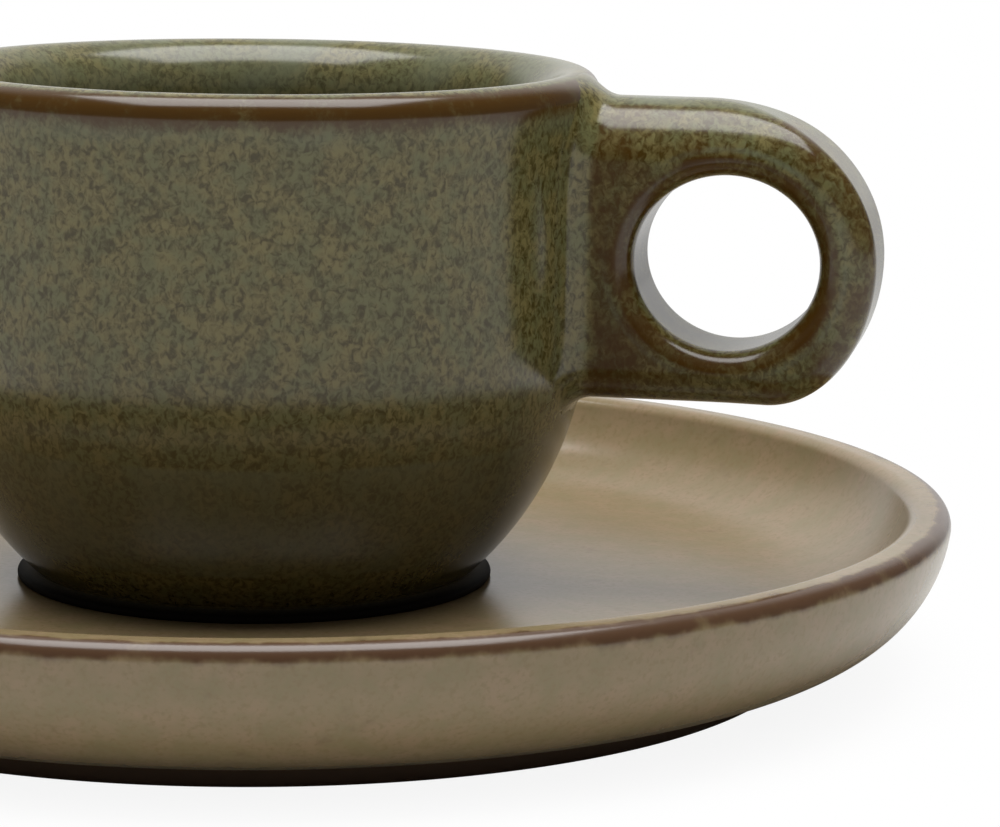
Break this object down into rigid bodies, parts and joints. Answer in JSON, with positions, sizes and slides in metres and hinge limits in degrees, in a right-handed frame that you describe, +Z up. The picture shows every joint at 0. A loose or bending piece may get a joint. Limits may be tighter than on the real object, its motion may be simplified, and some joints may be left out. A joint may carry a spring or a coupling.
{
  "type": "espresso cup and saucer",
  "caption": "Round espresso cup with a slab handle and a finger hole, in mottled olive stoneware glaze, standing loose in the flat well of a shallow taupe saucer.",
  "frame": {"origin": "middle of the saucer's standing ring, on the table", "axes": "+Z up along the cup's and the saucer's common axis, +X along the cup's handle"},
  "size_m": [0.13, 0.13, 0.0549],
  "materials": {
    "cup_glaze": "satin gloss reactive glaze, mottled olive green and grey brown, breaking to brown on the edges",
    "saucer_glaze": "satin taupe glaze with faint mottling and a thin brown line along the lip"
  },
  "bodies": {
    "saucer": {"saucer": "saucer_glaze"},
    "cup": {"cup_body": "cup_glaze", "cup_handle": "cup_glaze"}
  },
  "joints": [
    {"name": "cup_lift", "type": "slide", "parent": "saucer", "child": "cup", "axis": [0, 0, 1], "range_m": [0, 0.06]}
  ]
}
